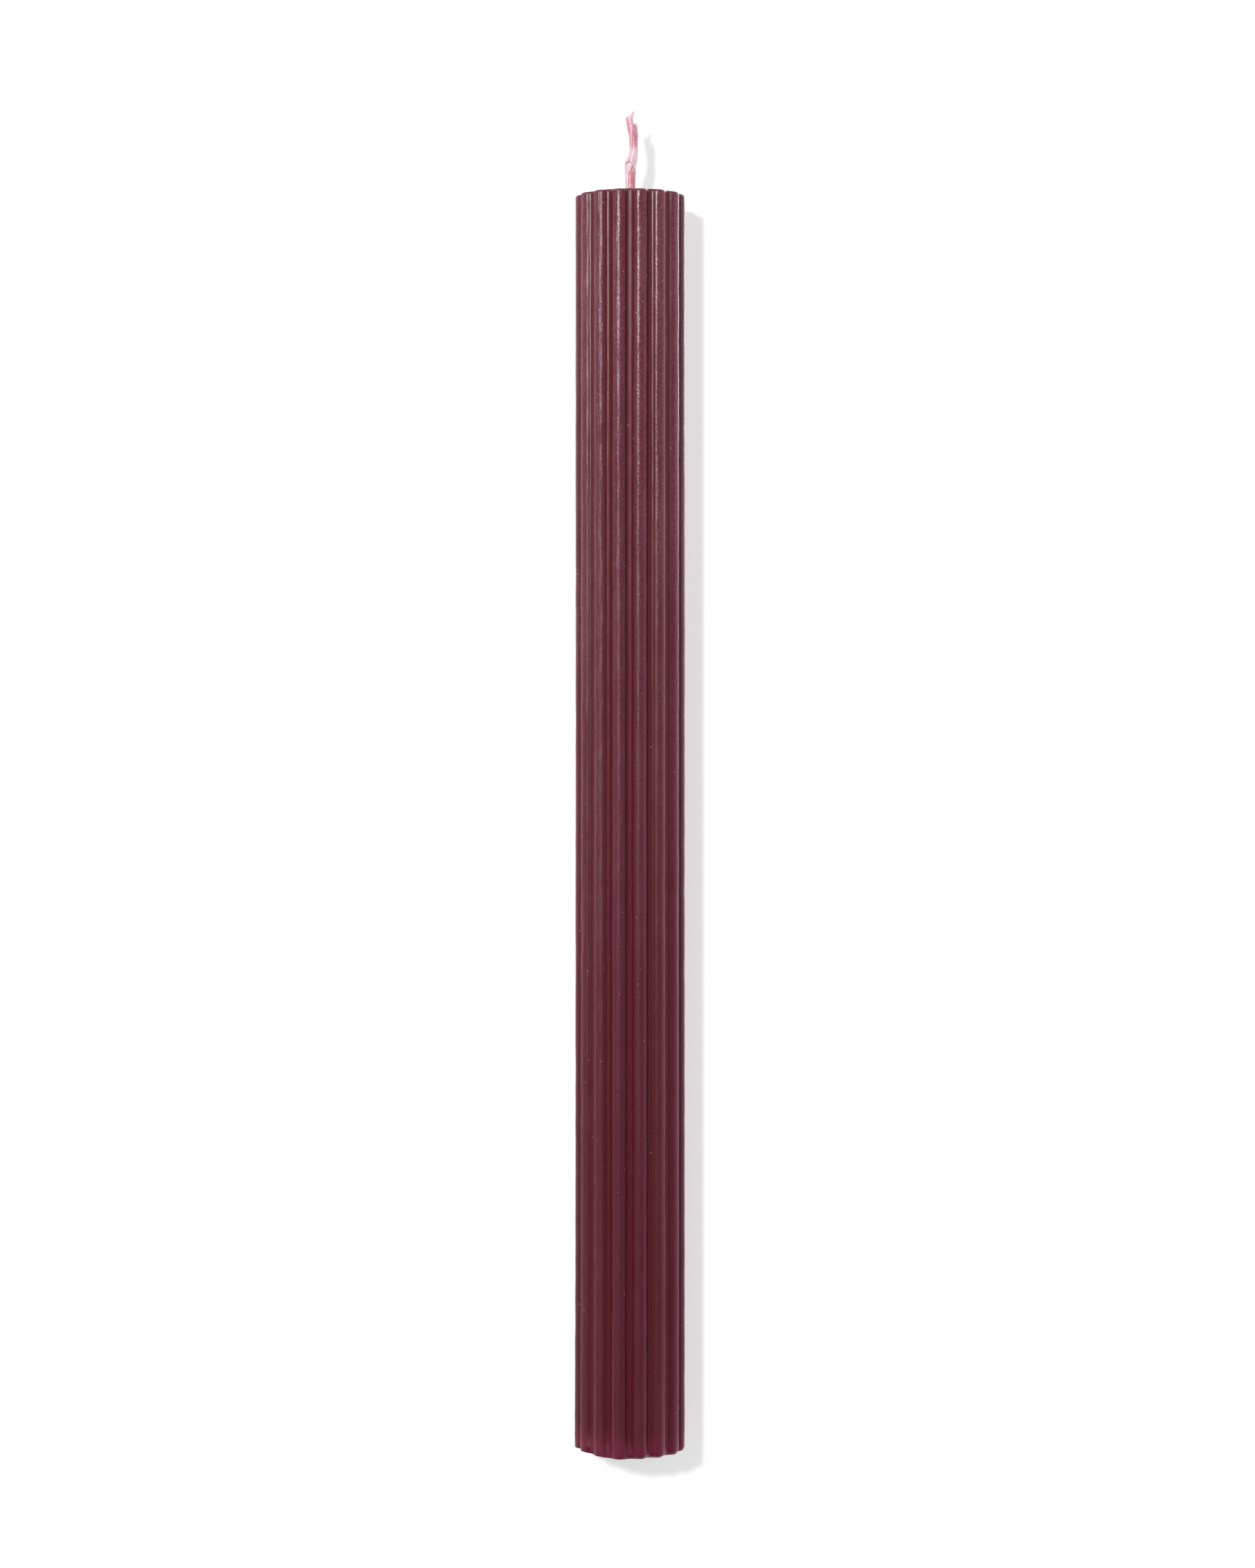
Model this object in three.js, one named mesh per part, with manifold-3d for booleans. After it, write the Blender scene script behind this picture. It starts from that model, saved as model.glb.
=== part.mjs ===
// A ribbed taper candle: a bar of wax with rounded ribs, pressed round a plaited cotton wick.
// Millimetres, +Z up. The origin is the centre of the flat base, and the front faces -Y.

import * as THREE from "three";
import { mergeVertices } from "three/addons/utils/BufferGeometryUtils.js";
import Module from "manifold-3d";

const { degToRad, lerp, smoothstep } = THREE.MathUtils;
const QUARTER_TURN = Math.PI / 2;

// Wax body
const BODY_HEIGHT = 254;
const CREST_DIAMETER = 22.2;
const RIB_COUNT = 15;
const GROOVE_DEPTH = 1.1;
const GROOVE_ARC_RADIUS = 0.85;
const FIRST_GROOVE_DEGREES = -0.9; // from the front towards +X
const TOP_ROUNDING = 0.5;
const BASE_ROUNDING = 1.4;
const FOOT_SWELL = 0.2; // how far the ribs stand out just above the base
const FOOT_SWELL_HEIGHT = 45;

// Wick: three strands in a flat plait
const STRAND_COUNT = 3;
const STRAND_DIAMETER = 0.66;
const PLAIT_HALF_WIDTH = 0.78; // how far a strand's centre swings along X
const PLAIT_HALF_DEPTH = 0.5; // and along Y
const PLAIT_PITCH = 28;
const PLAIT_LEAD_DEGREES = 85; // how far the first strand is through its swing at the cut
const WICK_CLEARANCE = 0.3; // between the plait and its channel in the wax
const WICK_RECESS = 0.3; // the trimmed lower end stops this far above the base

// The stub above the wax: it kinks to +X, hooks back, and one strand runs on as a flick
const STUB_HEIGHT = 15.4;
const KINK_START = 5.2;
const KINK_END = 9.6;
const KINK_REACH = 0.69;
const HOOK_START = 10.5;
const HOOK_END = 19;
const HOOK_REACH = 0.9;
const FLICK_HEIGHT = 1.8; // from the cut of the other strands to the flick's tip
const FLICK_REACH = 1.1;
const FLICK_TIP_DIAMETER = 0.2;

// Facets
const CREST_STEPS = 6;
const GROOVE_STEPS = 4;
const BASE_ROUNDING_STEPS = 4;
const TOP_ROUNDING_STEPS = 3;
const SWELL_STEPS = 4;
const STRAND_SIDES = 8;
const STEPS_PER_PITCH = 16; // of the wick's hidden part
const STUB_STEPS = 30;
const FLICK_STEPS = 6;
const CHANNEL_STEPS = 12; // half the sides of the wick's channel

// The rib section: each crest is an arc, and the groove between two crests is a smaller arc that
// runs smoothly into both. The groove's arc is given, and the crest's follows from it.
const halfPitch = Math.PI / RIB_COUNT;
const crestReach = CREST_DIAMETER / 2;
const grooveCentre = crestReach - GROOVE_DEPTH + GROOVE_ARC_RADIUS;
const grooveAlong = grooveCentre * Math.cos(halfPitch);
const grooveAcross = grooveCentre * Math.sin(halfPitch);
const crestArcRadius =
  (grooveAcross ** 2 + (grooveAlong - crestReach) ** 2 - GROOVE_ARC_RADIUS ** 2) /
  (2 * (GROOVE_ARC_RADIUS + crestReach - grooveAlong));
const crestCentre = crestReach - crestArcRadius;
const meetAngle = Math.atan2(grooveAcross, grooveAlong - crestCentre); // of the two arcs' shared normal

// An end rounding stays smaller than the crest's arc, so that every rib keeps an end face.
const ROUNDING_SHARE = 0.9;
const baseRounding = Math.min(BASE_ROUNDING, ROUNDING_SHARE * crestArcRadius);
const topRounding = Math.min(TOP_ROUNDING, ROUNDING_SHARE * crestArcRadius);

const wickTop = BODY_HEIGHT + STUB_HEIGHT;
const flickTop = wickTop + FLICK_HEIGHT;

const wasm = await Module();
wasm.setup();

// A closed geometry as a manifold-3d solid, and back.
function toSolid(geometry) {
  const bare = geometry.index ? geometry.toNonIndexed() : geometry.clone();
  bare.deleteAttribute("normal");
  bare.deleteAttribute("uv");
  const merged = mergeVertices(bare);
  return new wasm.Manifold(
    new wasm.Mesh({
      numProp: 3,
      vertProperties: merged.attributes.position.array,
      triVerts: new Uint32Array(merged.index.array),
    }),
  );
}

function toGeometry(solid) {
  const mesh = solid.getMesh();
  const geometry = new THREE.BufferGeometry();
  geometry.setAttribute("position", new THREE.BufferAttribute(mesh.vertProperties, 3));
  geometry.setIndex(new THREE.BufferAttribute(mesh.triVerts, 1));
  geometry.computeVertexNormals();
  return geometry;
}

// One level of the body. Moving the outline in by `inset` keeps the arcs' centres and changes only
// their radii, so every level has matching points. A negative inset swells it.
function ribRing(z, inset) {
  const ring = [];
  const addPoint = (centre, centreTurn, radius, normalTurn) => {
    const x = centre * Math.sin(centreTurn) + radius * Math.sin(normalTurn);
    const y = -centre * Math.cos(centreTurn) - radius * Math.cos(normalTurn);
    ring.push(new THREE.Vector3(x, y, z));
  };
  for (let rib = 0; rib < RIB_COUNT; rib++) {
    const grooveTurn = degToRad(FIRST_GROOVE_DEGREES) + 2 * halfPitch * rib;
    const crestTurn = grooveTurn + halfPitch;
    const meetFromGroove = meetAngle - halfPitch;
    for (let i = 0; i < GROOVE_STEPS; i++) {
      const turn = grooveTurn + lerp(meetFromGroove, -meetFromGroove, i / GROOVE_STEPS);
      addPoint(grooveCentre, grooveTurn, -(GROOVE_ARC_RADIUS + inset), turn);
    }
    for (let i = 0; i < CREST_STEPS; i++) {
      const turn = crestTurn + lerp(-meetAngle, meetAngle, i / CREST_STEPS);
      addPoint(crestCentre, crestTurn, crestArcRadius - inset, turn);
    }
  }
  return ring;
}

// Joins rings of points, lowest first, into one closed solid with a flat cap at each end.
function loft(rings) {
  const count = rings[0].length;
  const last = rings.length - 1;
  const bottomCentre = rings.length * count;
  const topCentre = bottomCentre + 1;
  const points = rings.flat();
  for (const end of [rings[0], rings[last]]) {
    const sum = end.reduce((total, point) => total.add(point), new THREE.Vector3());
    points.push(sum.divideScalar(count));
  }
  const faces = [];
  for (let i = 0; i < count; i++) {
    const next = (i + 1) % count;
    faces.push(bottomCentre, next, i);
    faces.push(topCentre, last * count + i, last * count + next);
    for (let level = 0; level < last; level++) {
      const low = level * count;
      const high = low + count;
      faces.push(low + i, low + next, high + next);
      faces.push(low + i, high + next, high + i);
    }
  }
  return new THREE.BufferGeometry().setFromPoints(points).setIndex(faces);
}

// How far the ribs stand out at height z.
function swellAt(z) {
  return FOOT_SWELL * (1 - smoothstep(z, 0, FOOT_SWELL_HEIGHT));
}

// The levels of the body from the base up: rounded edge, swollen foot, straight ribs, rounded edge.
function bodyRings() {
  const rings = [];
  for (let i = 0; i <= BASE_ROUNDING_STEPS; i++) {
    const turn = (QUARTER_TURN * i) / BASE_ROUNDING_STEPS;
    const z = baseRounding * (1 - Math.cos(turn));
    rings.push(ribRing(z, baseRounding * (1 - Math.sin(turn)) - swellAt(z)));
  }
  for (let i = 1; i <= SWELL_STEPS; i++) {
    const z = lerp(baseRounding, FOOT_SWELL_HEIGHT, i / SWELL_STEPS);
    rings.push(ribRing(z, -swellAt(z)));
  }
  for (let i = 0; i <= TOP_ROUNDING_STEPS; i++) {
    const turn = QUARTER_TURN * (1 - i / TOP_ROUNDING_STEPS);
    const z = BODY_HEIGHT - topRounding * (1 - Math.cos(turn));
    rings.push(ribRing(z, topRounding * (1 - Math.sin(turn))));
  }
  return rings;
}

// The channel that the wick fills: an oval round the flat plait, open at both ends.
function wickChannel() {
  const reach = STRAND_DIAMETER / 2 + WICK_CLEARANCE;
  const overrun = 1; // past both end faces, so that the cut is clean
  const oval = new THREE.Shape();
  oval.absellipse(0, 0, PLAIT_HALF_WIDTH + reach, PLAIT_HALF_DEPTH + reach, 0, 2 * Math.PI);
  return new THREE.ExtrudeGeometry(oval, {
    depth: BODY_HEIGHT + 2 * overrun,
    bevelEnabled: false,
    curveSegments: CHANNEL_STEPS,
  }).translate(0, 0, -overrun);
}

function waxBody() {
  return toGeometry(toSolid(loft(bodyRings())).subtract(toSolid(wickChannel())));
}

// How far the wick leans to +X at height z.
function wickLean(z) {
  const above = z - BODY_HEIGHT;
  const kink = KINK_REACH * smoothstep(above, KINK_START, KINK_END);
  const hook = HOOK_REACH * smoothstep(above, HOOK_START, HOOK_END);
  return kink - hook;
}

// The centre line of one strand. A strand swings across the plait once in each pitch, and passes
// from front to back twice, which leads it over one neighbour and under the other.
class StrandPath {
  constructor(number) {
    this.lead = degToRad(PLAIT_LEAD_DEGREES) + (2 * Math.PI * number) / STRAND_COUNT;
    this.runsOn = number === STRAND_COUNT - 1;
  }

  centreAt(z) {
    const swing = (2 * Math.PI * (z - wickTop)) / PLAIT_PITCH + this.lead;
    const flick = this.runsOn ? FLICK_REACH * smoothstep(z, wickTop, flickTop) : 0;
    const x = wickLean(z) + flick + PLAIT_HALF_WIDTH * Math.sin(swing);
    const y = PLAIT_HALF_DEPTH * Math.sin(2 * swing);
    return new THREE.Vector3(x, y, z);
  }

  // The strand is even up to the cut, and the flick gets thinner towards its tip.
  radiusAt(z) {
    return lerp(STRAND_DIAMETER, FLICK_TIP_DIAMETER, smoothstep(z, wickTop, flickTop)) / 2;
  }

  // The heights of its rings: even steps in the wax, closer ones in the stub and the flick.
  heights() {
    const hiddenSteps = Math.round((STEPS_PER_PITCH * BODY_HEIGHT) / PLAIT_PITCH);
    const heights = [];
    for (let i = 0; i < hiddenSteps; i++) {
      heights.push(lerp(WICK_RECESS, BODY_HEIGHT, i / hiddenSteps));
    }
    for (let i = 0; i <= STUB_STEPS; i++) {
      heights.push(lerp(BODY_HEIGHT, wickTop, i / STUB_STEPS));
    }
    for (let i = 1; this.runsOn && i <= FLICK_STEPS; i++) {
      heights.push(lerp(wickTop, flickTop, i / FLICK_STEPS));
    }
    return heights;
  }
}

function strandRing(path, z) {
  const centre = path.centreAt(z);
  const ring = [];
  for (let i = 0; i < STRAND_SIDES; i++) {
    const turn = (2 * Math.PI * i) / STRAND_SIDES;
    const out = new THREE.Vector3(Math.cos(turn), Math.sin(turn), 0);
    ring.push(out.multiplyScalar(path.radiusAt(z)).add(centre));
  }
  return ring;
}

function wickStrand(number) {
  const path = new StrandPath(number);
  return toGeometry(toSolid(loft(path.heights().map((z) => strandRing(path, z)))));
}

const candle = new THREE.Group();

function addPiece(name, geometry, material) {
  const mesh = new THREE.Mesh(geometry, material);
  mesh.name = name;
  candle.add(mesh);
}

addPiece(
  "wax_body",
  waxBody(),
  new THREE.MeshStandardMaterial({ color: 0x66323f, roughness: 0.45, metalness: 0 }),
);
for (let number = 0; number < STRAND_COUNT; number++) {
  addPiece(
    `wick_strand_${number + 1}`,
    wickStrand(number),
    new THREE.MeshStandardMaterial({ color: 0xdca9b4, roughness: 0.6, metalness: 0 }),
  );
}

export default candle;
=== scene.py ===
# %% [markdown]
# # A ribbed taper candle
#
# The real object is one bar of dark red wax with rounded ribs along its length, pressed round a
# plaited cotton wick. Two things make it look like wax and not like plastic: the ribs are soft
# everywhere, and a fine grain along the crests breaks the light into small sparks.
#
# This lesson starts from a measured frame: the candle's plain solids at their real size. Every
# detailed piece that is made here takes the place of one of them, so nothing needs fitting.

# %% Load the measured frame
import math

import bpy
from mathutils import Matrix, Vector


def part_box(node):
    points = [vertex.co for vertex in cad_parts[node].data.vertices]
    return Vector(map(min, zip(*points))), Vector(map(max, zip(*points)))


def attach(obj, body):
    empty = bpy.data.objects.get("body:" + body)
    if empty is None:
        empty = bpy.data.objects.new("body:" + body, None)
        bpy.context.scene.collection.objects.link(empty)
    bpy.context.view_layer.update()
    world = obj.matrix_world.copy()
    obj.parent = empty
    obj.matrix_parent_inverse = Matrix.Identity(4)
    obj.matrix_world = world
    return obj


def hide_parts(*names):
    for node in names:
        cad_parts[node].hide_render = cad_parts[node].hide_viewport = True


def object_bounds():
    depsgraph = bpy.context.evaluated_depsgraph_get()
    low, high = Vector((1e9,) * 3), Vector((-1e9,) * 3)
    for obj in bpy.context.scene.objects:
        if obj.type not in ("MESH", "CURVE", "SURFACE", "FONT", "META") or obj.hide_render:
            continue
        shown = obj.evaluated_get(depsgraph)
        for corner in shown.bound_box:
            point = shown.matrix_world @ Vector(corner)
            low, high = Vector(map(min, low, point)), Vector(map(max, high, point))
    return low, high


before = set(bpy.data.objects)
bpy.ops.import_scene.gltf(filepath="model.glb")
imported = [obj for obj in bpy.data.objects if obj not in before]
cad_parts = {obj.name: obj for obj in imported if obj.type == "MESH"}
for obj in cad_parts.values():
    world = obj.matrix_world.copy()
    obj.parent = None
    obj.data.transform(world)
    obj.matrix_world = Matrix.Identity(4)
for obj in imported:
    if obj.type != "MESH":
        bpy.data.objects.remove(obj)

cad_low, cad_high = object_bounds()
print("frame:", sorted(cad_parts), "height", round(cad_high.z, 4), "m")

# %% [markdown]
# ## The sizes
#
# Blender works in metres, and a candle is easier to read in millimetres, so each size is written in
# millimetres times MM. The height of the wax comes from the frame. The rest says what the section of
# the ribs is like: small arcs for the grooves and larger ones for the crests between them.

# %% Sizes of the wax
MM = 0.001
wax_low, wax_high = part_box("wax_body")
WAX_TOP = wax_high.z
RIB_COUNT = 15
CREST_REACH = 11.14 * MM
GROOVE_DEPTH = 1.1 * MM
GROOVE_ARC = 0.85 * MM
FIRST_GROOVE = math.radians(-0.9)
TOP_ROUNDING = 0.5 * MM
BASE_ROUNDING = 1.4 * MM
FOOT_SWELL = 0.07 * MM
FOOT_SWELL_HEIGHT = 45 * MM
print("wax from", round(wax_low.z / MM, 2), "to", round(WAX_TOP / MM, 2), "mm")

# %% [markdown]
# ## The camera first
#
# The photograph was taken level with the middle of the candle, from straight in front and far away,
# so its sides look parallel. A long lens from 0.8 m does the same. The sensor size counts for the
# long side of the picture, which is its height here.

# %% Camera
CAMERA_DISTANCE = 800 * MM
CAMERA_HEIGHT = 134.92 * MM
CAMERA_OFFSET = -0.56 * MM
CAMERA_LENS = 90.80


def make_camera():
    data = bpy.data.cameras.new("camera")
    data.lens = CAMERA_LENS
    data.clip_start = 0.01
    data.clip_end = 20
    camera = bpy.data.objects.new("camera", data)
    camera.location = (CAMERA_OFFSET, -CAMERA_DISTANCE, CAMERA_HEIGHT)
    camera.rotation_euler = (math.pi / 2, 0, 0)
    bpy.context.scene.collection.objects.link(camera)
    bpy.context.scene.camera = camera
    return camera


make_camera()
print("camera at", tuple(round(v, 3) for v in bpy.context.scene.camera.location))

# %% [markdown]
# ## Sums on wires
#
# Both geometry trees and material trees do their sums with Math nodes, and a formula quickly takes
# dozens of them. Linking them by hand hides the formula. This small class stands for one output in a
# tree and turns `a + b * 2` into the nodes, so that the formula stays readable in the script.

# %% A wire that can be added and multiplied
def plug(tree, socket, value):
    """Links a wire to a socket, or sets the socket to a plain value."""
    if isinstance(value, Wire):
        tree.links.new(value.socket, socket)
    else:
        socket.default_value = value


class Wire:
    """One output in a node tree, on which sums are written as usual."""

    def __init__(self, tree, socket):
        self.tree = tree
        self.socket = socket

    def math(self, operation, *others):
        node = self.tree.nodes.new("ShaderNodeMath")
        node.operation = operation
        for place, value in enumerate((self, *others)):
            plug(self.tree, node.inputs[place], value)
        return Wire(self.tree, node.outputs[0])

    def __add__(self, other):
        return self.math("ADD", other)

    def __sub__(self, other):
        return self.math("SUBTRACT", other)

    def __rsub__(self, other):
        return self * -1 + other

    def __mul__(self, other):
        return self.math("MULTIPLY", other)

    def __truediv__(self, other):
        return self.math("DIVIDE", other)

    def __rtruediv__(self, other):
        return self.power(-1) * other

    __radd__ = __add__
    __rmul__ = __mul__

    def sin(self):
        return self.math("SINE")

    def cos(self):
        return self.math("COSINE")

    def root(self):
        return self.math("SQRT")

    def floor(self):
        return self.math("FLOOR")

    def at_least(self, other):
        return self.math("MAXIMUM", other)

    def at_most(self, other):
        return self.math("MINIMUM", other)

    def over(self, other):
        """1 where this wire is above the other value, and 0 elsewhere."""
        return self.math("GREATER_THAN", other)

    def power(self, other):
        return self.math("POWER", other)

    def soft_at_most(self, other, softness):
        """The smaller of two wires, with the corner between them rounded."""
        return self.math("SMOOTH_MIN", other, softness)

    def ramp(self, start, end, shape="LINEAR"):
        """Goes from 0 at start to 1 at end, and stays there."""
        node = self.tree.nodes.new("ShaderNodeMapRange")
        node.interpolation_type = shape
        for place, value in enumerate((self, start, end)):
            plug(self.tree, node.inputs[place], value)
        return Wire(self.tree, node.outputs[0])

    def blend(self, start, end):
        """The value between start and end at this share."""
        return start + (end - start) * self


def length_of(x, y):
    """The distance from the axis."""
    return (x * x + y * y).root()


def vector_of(x, y, z):
    """Three wires as one vector."""
    tree = x.tree
    node = tree.nodes.new("ShaderNodeCombineXYZ")
    for place, value in enumerate((x, y, z)):
        plug(tree, node.inputs[place], value)
    return Wire(tree, node.outputs[0])


def parts_of(vector):
    """One vector as three wires."""
    node = vector.tree.nodes.new("ShaderNodeSeparateXYZ")
    vector.tree.links.new(vector.socket, node.inputs[0])
    return [Wire(vector.tree, socket) for socket in node.outputs]


def noise(vector, scale, detail=2.0, roughness=0.5):
    """Soft noise from 0 to 1. The scale is how many features lie in one metre."""
    node = vector.tree.nodes.new("ShaderNodeTexNoise")
    vector.tree.links.new(vector.socket, node.inputs["Vector"])
    node.inputs["Scale"].default_value = scale
    node.inputs["Detail"].default_value = detail
    node.inputs["Roughness"].default_value = roughness
    return Wire(vector.tree, node.outputs[0])


print("sums on wires are ready")

# %% [markdown]
# ## A geometry tree with named inputs
#
# Geometry Nodes suit a candle, because its shape is a rule: one rib, repeated. A tree gets one named
# input for each size, so a learner can change it in the modifier panel. Afterwards the result is kept
# as a plain mesh and the modifier goes, because a finished piece should not depend on its recipe.

# %% Start a tree, and run it
def new_tree(name, sizes):
    """An empty geometry tree with a named input for each size, and those inputs as wires."""
    tree = bpy.data.node_groups.new(name, "GeometryNodeTree")
    tree.interface.new_socket("Geometry", in_out="OUTPUT", socket_type="NodeSocketGeometry")
    for label, value in sizes.items():
        kind = "NodeSocketMaterial" if isinstance(value, bpy.types.Material) else "NodeSocketFloat"
        tree.interface.new_socket(label, in_out="INPUT", socket_type=kind)
    entry = tree.nodes.new("NodeGroupInput")
    return tree, {label: Wire(tree, entry.outputs[label]) for label in sizes}


def finish_tree(tree, geometry, material):
    """Every tree ends in Realize Instances and Set Material."""
    realize = tree.nodes.new("GeometryNodeRealizeInstances")
    paint = tree.nodes.new("GeometryNodeSetMaterial")
    leave = tree.nodes.new("NodeGroupOutput")
    tree.links.new(geometry, realize.inputs["Geometry"])
    tree.links.new(realize.outputs[0], paint.inputs["Geometry"])
    tree.links.new(material.socket, paint.inputs["Material"])
    tree.links.new(paint.outputs[0], leave.inputs["Geometry"])


def grow(name, tree, sizes):
    """Runs a tree with these sizes and keeps the result as a plain mesh at the origin."""
    piece = bpy.data.objects.new(name, bpy.data.meshes.new(name + "_seed"))
    bpy.context.scene.collection.objects.link(piece)
    modifier = piece.modifiers.new("Recipe", "NODES")
    modifier.node_group = tree
    for item in tree.interface.items_tree:
        if item.in_out == "INPUT":
            modifier[item.identifier] = sizes[item.name]
    depsgraph = bpy.context.evaluated_depsgraph_get()
    evaluated = piece.evaluated_get(depsgraph)
    mesh = bpy.data.meshes.new_from_object(evaluated, preserve_all_data_layers=True, depsgraph=depsgraph)
    piece.modifiers.remove(modifier)
    piece.data = mesh
    mesh.name = name
    print(name, "has", len(mesh.polygons), "faces")
    return piece


def numbered_grid(tree, columns, rows):
    """A grid with its points one unit apart, so that a point's place tells its column and row."""
    node = tree.nodes.new("GeometryNodeMeshGrid")
    node.inputs["Size X"].default_value = columns
    node.inputs["Size Y"].default_value = rows
    node.inputs["Vertices X"].default_value = columns + 1
    node.inputs["Vertices Y"].default_value = rows + 1
    place = Wire(tree, tree.nodes.new("GeometryNodeInputPosition").outputs[0])
    x, y, _ = parts_of(place)
    return node.outputs["Mesh"], x + columns / 2, y + rows / 2


def set_places(tree, geometry, place):
    """Moves every point to the place that the formula gives."""
    node = tree.nodes.new("GeometryNodeSetPosition")
    tree.links.new(geometry, node.inputs["Geometry"])
    tree.links.new(place.socket, node.inputs["Position"])
    return node.outputs[0]


def close_seams(tree, geometry, distance):
    """Merges the points that landed on each other, where the grid's edges meet."""
    merge = tree.nodes.new("GeometryNodeMergeByDistance")
    merge.inputs["Distance"].default_value = distance
    smooth = tree.nodes.new("GeometryNodeSetShadeSmooth")
    tree.links.new(geometry, merge.inputs["Geometry"])
    tree.links.new(merge.outputs[0], smooth.inputs["Geometry"])
    return smooth.outputs[0]


print("tree helpers are ready")

# %% [markdown]
# ## The ribbed section as a formula
#
# One rib is a groove arc and a crest arc that share a normal where they meet. Moving the outline in
# by some amount keeps the centres of the arcs and changes only their radii: crests get smaller and
# grooves larger. So the rounded edges at both ends follow the ribs by themselves.
#
# The centre of a crest's arc follows from the rest. Both arcs touch at one point, so the distance of
# their centres is the sum of their radii, and that equation has one unknown.

# %% What follows from the rib's sizes
half_pitch = math.pi / RIB_COUNT
groove_centre = CREST_REACH - GROOVE_DEPTH + GROOVE_ARC
groove_along = groove_centre * math.cos(half_pitch)
groove_across = groove_centre * math.sin(half_pitch)
crest_arc = (groove_across**2 + (groove_along - CREST_REACH) ** 2 - GROOVE_ARC**2) / (
    2 * (GROOVE_ARC + CREST_REACH - groove_along)
)
crest_centre = CREST_REACH - crest_arc
meet_turn = math.atan2(groove_across, groove_along - crest_centre)
print("crest arc", round(crest_arc / MM, 3), "mm, arcs meet at", round(math.degrees(meet_turn), 1), "degrees")

# %% [markdown]
# ## The wick's path
#
# Three strands swing across the plait, each a third of a swing behind the next. A strand swings once
# from side to side in a pitch and goes from front to back twice, which leads it over one neighbour
# and under the other. The stub kinks to the right above the wax and hooks back at its end.

# %% Sizes of the wick
STRAND_COUNT = 3
PLAIT_HALF_WIDTH = 0.78 * MM
PLAIT_HALF_DEPTH = 0.5 * MM
PLAIT_PITCH = 28 * MM
PLAIT_LEAD = math.radians(85)
WICK_RECESS = 0.3 * MM
WICK_CUT = WAX_TOP + 15.4 * MM
FLICK_TOP = cad_high.z - 0.25 * MM
KINK = (5.2 * MM, 9.6 * MM, 0.69 * MM)
HOOK = (10.5 * MM, 19 * MM, 0.9 * MM)
FLICK_REACH = 1.0 * MM
CROSSING = ((0.5, 4.4, -22), (4.4, 7.0, 65), (7.5, 15.0, -43))


def wick_lean(height):
    """How far the whole wick leans to the right."""
    above = height - WAX_TOP
    kink_start, kink_end, kink_reach = KINK
    hook_start, hook_end, hook_reach = HOOK
    kink = above.ramp(kink_start, kink_end, "SMOOTHSTEP") * kink_reach
    return kink - above.ramp(hook_start, hook_end, "SMOOTHSTEP") * hook_reach


def strand_centre(height, lead):
    """Where a strand's centre lies beside the wick's own centre."""
    above = height - WAX_TOP
    swing = (height - WICK_CUT) * (2 * math.pi / PLAIT_PITCH) + lead
    for start, end, turn in CROSSING:
        swing = swing + above.ramp(start * MM, end * MM, "SMOOTHSTEP") * math.radians(turn)
    return swing.sin() * PLAIT_HALF_WIDTH, (swing * 2).sin() * PLAIT_HALF_DEPTH


print("the wick ends", round((FLICK_TOP - WAX_TOP) / MM, 2), "mm above the wax")

# %% [markdown]
# ## The finish of the wax
#
# Dyed wax is dark and slightly see-through. Its colour is painted deeper in the grooves, as painted
# shade on top of the shade that the render makes there, and a little milky on the crests, where
# handling and cooling leave a fine bloom. The bloom is painted stronger towards the top, as painted
# light for the extra light that falls there. The bar was drawn along its length, so the grain is
# stretched that way: it spreads the lamp's light sideways into broad bands, and not up and down. The
# crests on the left were handled more, so they are duller. The colour is painted redder at the foot,
# as a painted glow of light that passes through the thin edge.
#
# All of it could be painted in a picture, but a pattern that is worked out from the place on the
# object has no seams and stays sharp at any distance.

# %% Wax material
WAX_DEEP = (0.078, 0.0036, 0.0092, 1)
WAX_BODY = (0.080, 0.0070, 0.0192, 1)
WAX_BLOOM_AND_TOP_LIGHT = (0.188, 0.065, 0.091, 1)
WAX_FOOT_GLOW = (0.150, 0.0125, 0.0380, 1)
WAX_SPECK = (0.50, 0.30, 0.34, 1)
GRAINS_PER_METRE = 2600
LUMPS_PER_METRE = 900
DOTS_PER_METRE = 560
GRAIN_RELIEF = 0.045 * MM
LUMP_RELIEF = 0.05 * MM
COMBED_RELIEF = 0.12 * MM
BLOOM_AND_TOP_LIGHT_SHARE = (0.18, 0.98)
COAT_SHARE = (0.36, 0.55)
COAT_ROUGHNESS = 0.26
WAX_IOR = 1.44
WAX_GLOSS = 0.12
WAX_CLOUDY = 0.25
LIGHT_REACH = (1.0, 0.25, 0.3)


def mix_colour(share, first, second):
    """A colour between two colours or colour wires."""
    tree = share.tree
    node = tree.nodes.new("ShaderNodeMix")
    node.data_type = "RGBA"
    plug(tree, node.inputs[0], share)
    plug(tree, node.inputs[6], first)
    plug(tree, node.inputs[7], second)
    return Wire(tree, node.outputs[2])


def new_material(name):
    """A material with an empty tree, its shader, and its place on the object as a wire."""
    material = bpy.data.materials.new(name)
    material.use_nodes = True
    tree = material.node_tree
    shader = tree.nodes["Principled BSDF"]
    place = Wire(tree, tree.nodes.new("ShaderNodeTexCoord").outputs["Object"])
    return material, tree, shader, place


def bump(tree, height, distance, strength=1.0, below=None):
    """Relief from a height wire, on top of another relief if one is given."""
    node = tree.nodes.new("ShaderNodeBump")
    node.inputs["Strength"].default_value = strength
    node.inputs["Distance"].default_value = distance
    plug(tree, node.inputs["Height"], height)
    if below is not None:
        plug(tree, node.inputs["Normal"], below)
    return Wire(tree, node.outputs[0])


def specks(vector, scale, size):
    """Small dots: 1 inside a dot and 0 elsewhere. The size is a share of their spacing."""
    node = vector.tree.nodes.new("ShaderNodeTexVoronoi")
    vector.tree.links.new(vector.socket, node.inputs["Vector"])
    node.inputs["Scale"].default_value = scale
    return 1 - Wire(vector.tree, node.outputs["Distance"]).ramp(size * 0.6, size)


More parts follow.
